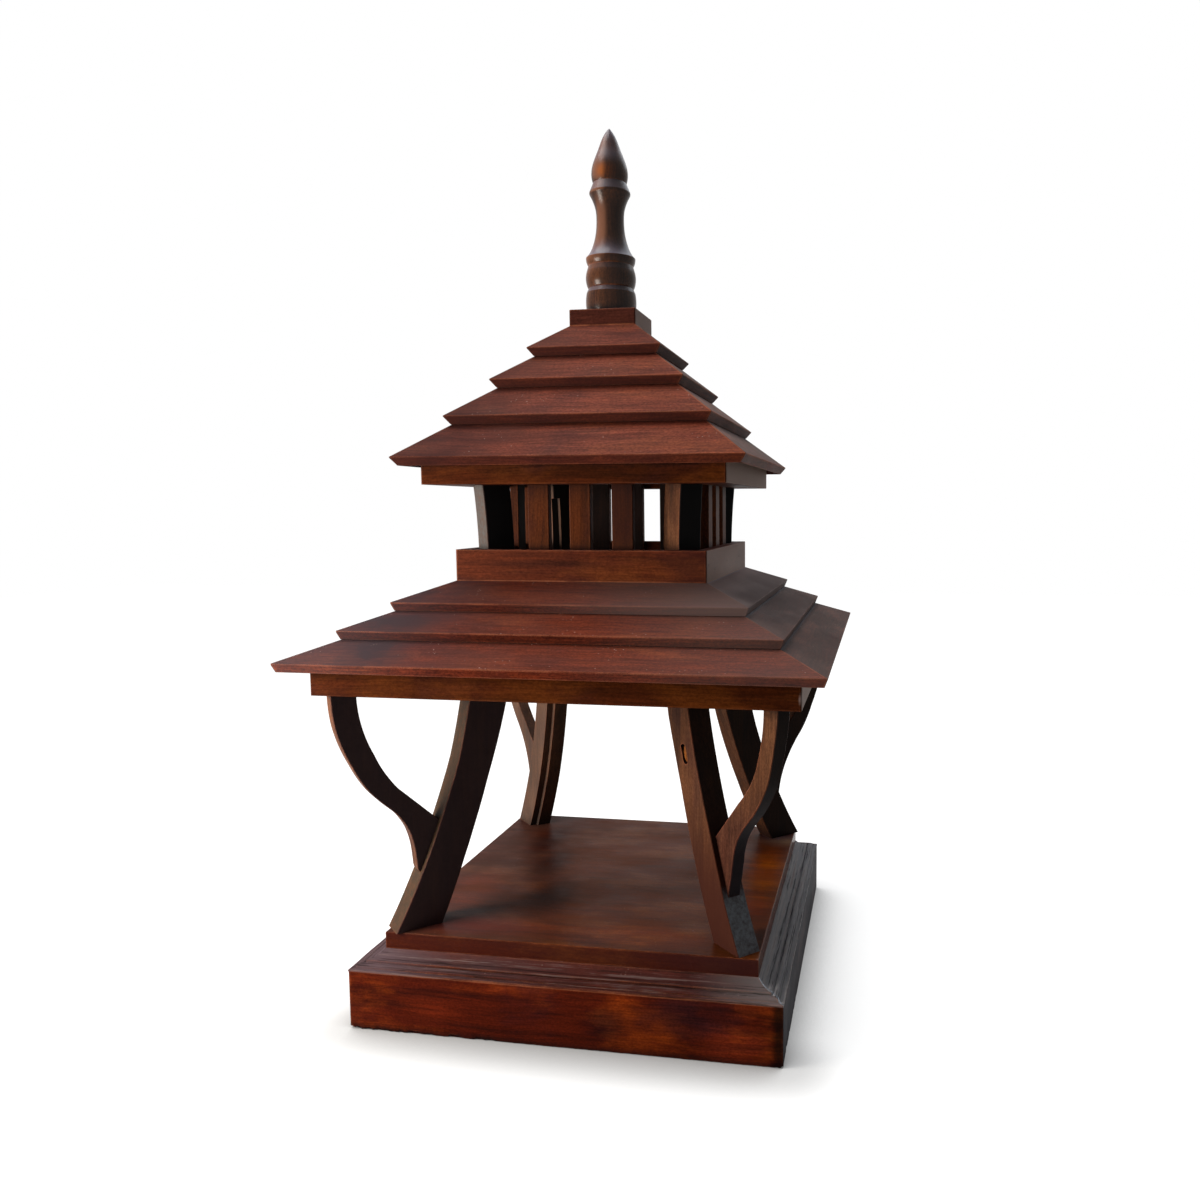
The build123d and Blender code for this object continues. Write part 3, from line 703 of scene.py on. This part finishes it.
beam_body = (0.064, 0.0135, 0.0038, 1)
beam_streak = (0.036, 0.0090, 0.0030, 1)
beam_glow = (0.140, 0.036, 0.0065, 1)
right_side_sheen = (0.545, 0.373, 0.304, 1)
pale_chip = (0.450, 0.330, 0.300, 1)
for seed, frame_name in enumerate(("lower_beam", "upper_beam")):
    for turn, part in enumerate(("front_back", "sides")):
        wood = old_wood(
            frame_name + "_wood_" + part, "XY"[turn], beam_body, beam_streak, beam_glow,
            21.0 + 2 * seed + turn, patches=0.6, dust=0.3, specks=0.2, wear_and_glint=0.4, gloss=0.012, mitred=True)
        # Painted sheen: the right-hand faces are lighter and greyer.
        touched(wood, lambda tree: facing(tree, to_right, 0.6, 0.9, 0.85), right_side_sheen)
        touched(wood, lambda tree: patch(tree, (0.1970, -0.1970, 0.295), (0.0030, 0.0030, 0.0050)),
                pale_chip)
        finish_wood(frame_name + "_" + part, wood)


# ---------------------------------------------------------------- roof boards
# Each roof is a stack of lapped, sloping frames of thin board, mitred at the hips and square at
# the eaves. The slopes have faded redder, and carry a thin film of dust with pale crumbs in it.

slope_body = (0.135, 0.0220, 0.0075, 1)
slope_streak = (0.080, 0.0150, 0.0080, 1)
slope_glow = (0.200, 0.044, 0.0130, 1)
upper_slope_body = (0.160, 0.034, 0.0170, 1)
# The side slopes are painted darker and greyer, as shade and sheen, in their body and dust film.
side_slope_shade_and_sheen = (0.070, 0.030, 0.019, 1)
pale_line = (0.240, 0.250, 0.280, 1)
warm_film = (0.150, 0.054, 0.038, 1)
dark_left_tint = (0.036, 0.020, 0.023, 1)
side_film_dust_and_sheen = (0.165, 0.135, 0.128, 1)
right_stain_and_sheen = (0.150, 0.108, 0.102, 1)
left_stain_and_sheen = (0.066, 0.058, 0.066, 1)
left_shade = (0.034, 0.0105, 0.0085, 1)
eave_tint = (0.68, 0.66, 0.66, 1)
inner_tint = (1.7, 1.7, 1.7, 1)
to_eave_front = (0, -0.9, -0.4)
# Where the right of each lower tier starts to turn paler and greyer, partly stain and partly
# painted sheen, and how strongly.
right_paling_reaches = ((0.00, 0.30), (0.00, 0.45), (-0.07, 0.92))


def joint_dust(tree):
    """Pale dust packed into the joints between laps, on what faces up."""
    open_air = add(tree, "AmbientOcclusion", {"Distance": 0.004}, samples=6).outputs["AO"]
    return both(tree, ramp(tree, open_air, 0.85, 0.60, 0.0, 0.55), facing(tree, to_sky, 0.4, 0.7))


for roof, tiers, seed, front_body in (("lower_roof", 3, 26.0, slope_body),
                                      ("upper_roof", 4, 34.0, upper_slope_body)):
    for tier in range(1, tiers + 1):
        for turn, part in enumerate(("front_back", "sides")):
            wood = old_wood(
                f"{roof}_wood_{tier}_{part}", "XY"[turn], (front_body, side_slope_shade_and_sheen)[turn], slope_streak,
                slope_glow, seed + 2 * tier + turn, patches=0.7, plums=0.5, mottle=0.4, wear_and_glint=1.5,
                dust=(0.28, 0.62)[turn], dust_colour=(warm_film, side_film_dust_and_sheen)[turn], left_share=0.85,
                left_colour=dark_left_tint, specks=1.0, crease=0.034, mitred=True,
                roughness=(0.5, 0.62)[turn], gloss=(0.035, 0.05)[turn])
            if roof == "lower_roof":
                start, most = right_paling_reaches[tier - 1]
                touched(wood, lambda tree: between(tree, "X", start, 0.17, most), right_stain_and_sheen)
                # The left end turns greyer, partly stain and partly painted sheen.
                touched(wood, lambda tree: between(tree, "X", -0.05, -0.19, 0.40), left_stain_and_sheen)
                if part == "sides":
                    touched(wood, joint_dust, pale_line)
                    touched(wood, lambda tree: between(tree, "X", 0.14, 0.20), eave_tint, "MULTIPLY")
                    touched(wood, lambda tree: between(tree, "X", 0.145, 0.110), inner_tint, "MULTIPLY")
            else:
                touched(wood, lambda tree: facing(tree, to_eave_front, 0.7, 0.95, 0.60), left_shade)
                touched(wood, lambda tree: between(tree, "X", -0.01, -0.13, 0.58), left_shade)
                touched(wood, lambda tree: between(tree, "Z", 0.555, 0.575, 0.25), left_shade)
            finish_wood(f"{roof}_tier_{tier}_{part}", wood)


# ---------------------------------------------------------------- lantern
# A mitred curb sits on the lower roof, and thin slats stand behind it and are let into the upper
# beams. The curb is fixed with brads, punched in and filled.

curb_body = (0.100, 0.0210, 0.0080, 1)
curb_streak = (0.050, 0.0120, 0.0060, 1)
curb_glow = (0.160, 0.042, 0.0110, 1)
for turn, part in enumerate(("front_back", "sides")):
    wood = old_wood("curb_wood_" + part, "XY"[turn], curb_body, curb_streak, curb_glow, 44.0 + turn,
                    patches=0.6, dust=0.4, specks=0.3, wear_and_glint=0.9, mitred=True)
    # Painted sheen: the right-hand faces are lighter and greyer.
    touched(wood, lambda tree: facing(tree, to_right, 0.6, 0.9, 0.42), right_side_sheen)
    if part == "front_back":
        # Painted shade: the front and back boards darken towards the right.
        touched(wood, lambda tree: between(tree, "X", 0.055, 0.105, 0.40), plum_stain_and_shade)
    finish_wood("lantern_curb_" + part, wood)

# Brads by side: the place along the board, and the height.
brad_places = {"front": ((-0.0903, 0.3834), (0.0766, 0.3872)),
               "right": ((-0.1016, 0.3869), (-0.0717, 0.3820), (-0.0078, 0.3860), (0.0664, 0.3864))}
brad_radius, brad_length, brad_rim, brad_dish = 0.0012, 0.0012, 0.0003, 0.0004
curb_face, brad_sunk = 0.1102, 0.00055
putty_body = (0.012, 0.008, 0.007, 1)
putty_streak = (0.006, 0.004, 0.004, 1)
putty_glow = (0.030, 0.016, 0.012, 1)
putty = old_wood("brad_putty", "X", putty_body, putty_streak, putty_glow, 46.0,
                 dust=0.1, specks=0.0, wear_and_glint=0.0, crease=0.003)
brads = []
for side, quarters in side_turns.items():
    for along, height in brad_places["front" if quarters % 2 == 0 else "right"]:
        bpy.ops.object.select_all(action="DESELECT")
        bpy.ops.mesh.primitive_cylinder_add(vertices=14, radius=brad_radius, depth=brad_length)
        brad = bpy.context.object
        bpy.ops.object.mode_set(mode="EDIT")
        bpy.ops.mesh.select_mode(type="VERT")
        choose(brad, lambda co: co.z > 0)
        bpy.ops.mesh.inset(thickness=brad_rim)
        bpy.ops.transform.translate(value=(0, 0, -brad_dish))
        bpy.ops.mesh.select_all(action="SELECT")
        bpy.ops.transform.rotate(value=-math.pi / 2, orient_axis="X", center_override=(0, 0, 0))
        bpy.ops.transform.translate(value=(along, -curb_face + brad_sunk, height))
        turned(quarters)
        bpy.ops.object.mode_set(mode="OBJECT")
        brads.append(brad)
for brad in brads:
    brad.select_set(True)
bpy.context.view_layer.objects.active = brads[0]
bpy.ops.object.join()
brads[0].name = "curb_brads"
bpy.ops.object.mode_set(mode="EDIT")
done(brads[0], putty, "lantern_wood")

slat_body = (0.085, 0.0210, 0.0060, 1)
slat_streak = (0.042, 0.0120, 0.0050, 1)
slat_glow = (0.140, 0.040, 0.0090, 1)
slat_shade = (0.026, 0.0100, 0.0085, 1)
inward_ways = {"front": (0, 1, 0), "right": (-1, 0, 0), "back": (0, -1, 0), "left": (1, 0, 0)}
for seed, side in enumerate(inward_ways):
    wood = old_wood("slat_wood_" + side, "Z", slat_body, slat_streak, slat_glow, 47.0 + seed,
                    patches=0.5, dust=0.3, specks=0.1, wear_and_glint=0.6, crease=0.05)
    # Painted shade on the slats' inner faces, and on the third front slat.
    touched(wood, lambda tree: facing(tree, inward_ways[side], 0.3, 0.8, 0.85), shade_black)
    touched(wood, lambda tree: patch(tree, (0.0365, -0.1, 0.44), (0.024, 0.050, 0.200), 0.60), slat_shade)
    finish_wood("lantern_slats_" + side, wood)


# ---------------------------------------------------------------- roof cap
# A square block that closes the upper roof and takes the finial's peg.

cap_body = (0.047, 0.0120, 0.008, 1)
cap_streak = (0.030, 0.009, 0.007, 1)
cap_glow = (0.080, 0.022, 0.013, 1)
cap_wood = old_wood("cap_wood", "X", cap_body, cap_streak, cap_glow, 52.0,
                    patches=0.5, dust=0.5, specks=0.4, wear_and_glint=0.7)
# Painted sheen: the right-hand faces are lighter and greyer.
touched(cap_wood, lambda tree: facing(tree, to_right, 0.6, 0.9, 0.42), right_side_sheen)
finish_wood("roof_cap", cap_wood)


# ---------------------------------------------------------------- finial
# Turned on a lathe from one piece: drum, bead, flared waist, ring and pointed bud. Semi-gloss, with
# its arrises rubbed. Painted light: a warm highlight on the left of its rings and bud, sky sheen on
# what faces up, and shade down its right middle.

finial_body = (0.052, 0.018, 0.007, 1)
finial_streak = (0.022, 0.009, 0.005, 1)
finial_glow = (0.130, 0.038, 0.008, 1)
sky_sheen_and_dust = (0.150, 0.150, 0.175, 1)
lit_flank = (0.220, 0.092, 0.052, 1)
violet_sky_sheen = (0.150, 0.135, 0.185, 1)
shaded_middle = (0.016, 0.0065, 0.0045, 1)
bud_highlight = (2.1, 1.5, 0.7, 1)
to_lit_flank, to_shaded_middle = (-0.45, -0.89, 0.05), (0.45, -0.89, 0.0)
# The dust film on what faces up is painted as sky sheen too.
turned_wood = old_wood(
    "finial_wood", "Z", finial_body, finial_streak, finial_glow, 54.0,
    patches=0.8, plums=0.5, mottle=0.3, wear_and_glint=0.5, dust=0.9, dust_colour=sky_sheen_and_dust, left_colour=sky_sheen_and_dust,
    settles=0.30, specks=0.5, roughness=0.30, gloss=0.05, coat=0.18)
# Painted warm highlight on the left flank of the rings.
touched(turned_wood, lambda tree: both(tree, facing(tree, to_lit_flank, 0.80, 0.98, 0.65),
                                       between(tree, "Z", 0.640, 0.680)), lit_flank)
# Painted shade down the right middle.
touched(turned_wood, lambda tree: facing(tree, to_shaded_middle, 0.78, 0.97, 0.50), shaded_middle)
# Painted sky sheen on what faces up.
touched(turned_wood, lambda tree: facing(tree, to_sky, 0.20, 0.55, 0.50), violet_sky_sheen)
# Painted warm highlight on the bud.
touched(turned_wood, lambda tree: patch(tree, (0.001, -0.016, 0.7395), (0.011, 0.020, 0.008), 1.0, 0.5),
        bud_highlight, "MULTIPLY")
finish_wood("finial", turned_wood)


# ---------------------------------------------------------------- studio
# A pale floor, a soft key light from the left, a wide one above, a cool one over the back and a dim
# room. The floor is white to the camera but keeps the shadow under the plinth.

bpy.ops.object.select_all(action="DESELECT")
bpy.ops.mesh.primitive_plane_add(size=8)
ground = bpy.context.object
ground.name = "ground"


def seen_directly(tree):
    """1 for rays that show the backdrop itself: from the camera, a gloss or glass."""
    path = add(tree, "LightPath", {})
    seen = sums(tree, "MAXIMUM", path.outputs["Is Camera Ray"], path.outputs["Is Glossy Ray"])
    return sums(tree, "MAXIMUM", seen, path.outputs["Is Transmission Ray"])


contact_reach = 0.11
shadow_start, shadow_end, shadow_depth = 0.012, 0.058, 0.34
paper = bpy.data.materials.new("pale_paper")
paper.use_nodes = True
tree = paper.node_tree
shader = tree.nodes["Principled BSDF"]
shader.inputs["Base Color"].default_value = (0.25, 0.25, 0.25, 1)
shader.inputs["Roughness"].default_value = 0.95
shader.inputs["Specular IOR Level"].default_value = 0.0
# A painted contact shadow: the floor's glow dims where the house closes it in.
open_air = add(tree, "AmbientOcclusion", {"Distance": contact_reach}, samples=16).outputs["AO"]
glow = ramp(tree, open_air, 0.30, 1.0, 0.15, 1.0)
# A soft painted shadow along the front of the plinth.
spot = add(tree, "SeparateXYZ", {0: own_place(tree)}).outputs
beside = sums(tree, "MAXIMUM", sums(tree, "SUBTRACT", sums(tree, "ABSOLUTE", spot["X"]), skirt_half), 0.0)
before = sums(tree, "MAXIMUM", sums(tree, "SUBTRACT", -skirt_half, spot["Y"]), 0.0)
squares = sums(tree, "ADD", sums(tree, "POWER", beside, 2.0), sums(tree, "POWER", before, 2.0))
away = sums(tree, "SQRT", squares)
shaded = both(tree, ramp(tree, away, shadow_start, shadow_end, shadow_depth, 0.0),
              ramp(tree, spot["Y"], -0.13, -0.18))
glow = both(tree, glow, sums(tree, "SUBTRACT", 1.0, shaded))
shader.inputs["Emission Color"].default_value = (1, 1, 1, 1)
tree.links.new(both(tree, glow, seen_directly(tree)), shader.inputs["Emission Strength"])
ground.data.materials.append(paper)


house_middle = Vector((0, 0, 0.35))


def softbox(name, place, size, watts, colour):
    """A square soft light aimed at the middle of the house."""
    lamp = bpy.data.lights.new(name, "AREA")
    lamp.shape = "SQUARE"
    lamp.size = size
    lamp.energy = watts
    lamp.color = colour
    stand = bpy.data.objects.new(name, lamp)
    bpy.context.scene.collection.objects.link(stand)
    aim = (house_middle - Vector(place)).to_track_quat("-Z", "Y")
    stand.matrix_world = Matrix.Translation(Vector(place)) @ aim.to_matrix().to_4x4()


softbox("key_light", (-0.62, -0.47, 0.38), 0.30, 9, (1.0, 0.94, 0.86))
softbox("top_light", (-0.5, -0.10, 1.9), 1.0, 25, (1.0, 0.97, 0.93))
softbox("back_light", (0.6, 1.1, 1.9), 1.2, 9, (0.84, 0.92, 1.0))

room = bpy.data.worlds.new("room")
bpy.context.scene.world = room
room.use_nodes = True
tree = room.node_tree
toward = add(tree, "TexCoord", {}).outputs["Generated"]
low_right = add(tree, "VectorMath", {0: toward, 1: (0.66, -0.66, -0.35)},
                operation="DOT_PRODUCT").outputs["Value"]
dim = ramp(tree, low_right, -0.6, 0.4, 0.20, 0.025)
strength = add(tree, "Mix", {0: seen_directly(tree), 2: dim, 3: 1.0}).outputs[0]
tree.links.new(strength, tree.nodes["Background"].inputs["Strength"])
tree.nodes["Background"].inputs["Color"].default_value = (1, 1, 1, 1)
bpy.context.scene.view_settings.view_transform = "Standard"

camera_place = Vector((0.25571, -0.88973, 0.43482))
yaw, pitch, roll = 0.1674, -0.0947, -0.0024
lens = bpy.data.cameras.new("camera")
lens.sensor_width = 36
lens.lens = 28.863
lens.shift_x = -0.1028
lens.shift_y = -0.0011
camera = bpy.data.objects.new("camera", lens)
bpy.context.scene.collection.objects.link(camera)
upright = Matrix.Rotation(math.pi / 2 + pitch, 4, "X")
camera_turn = Matrix.Rotation(yaw, 4, "Z") @ upright @ Matrix.Rotation(roll, 4, "Z")
camera.matrix_world = Matrix.Translation(camera_place) @ camera_turn
bpy.context.scene.camera = camera
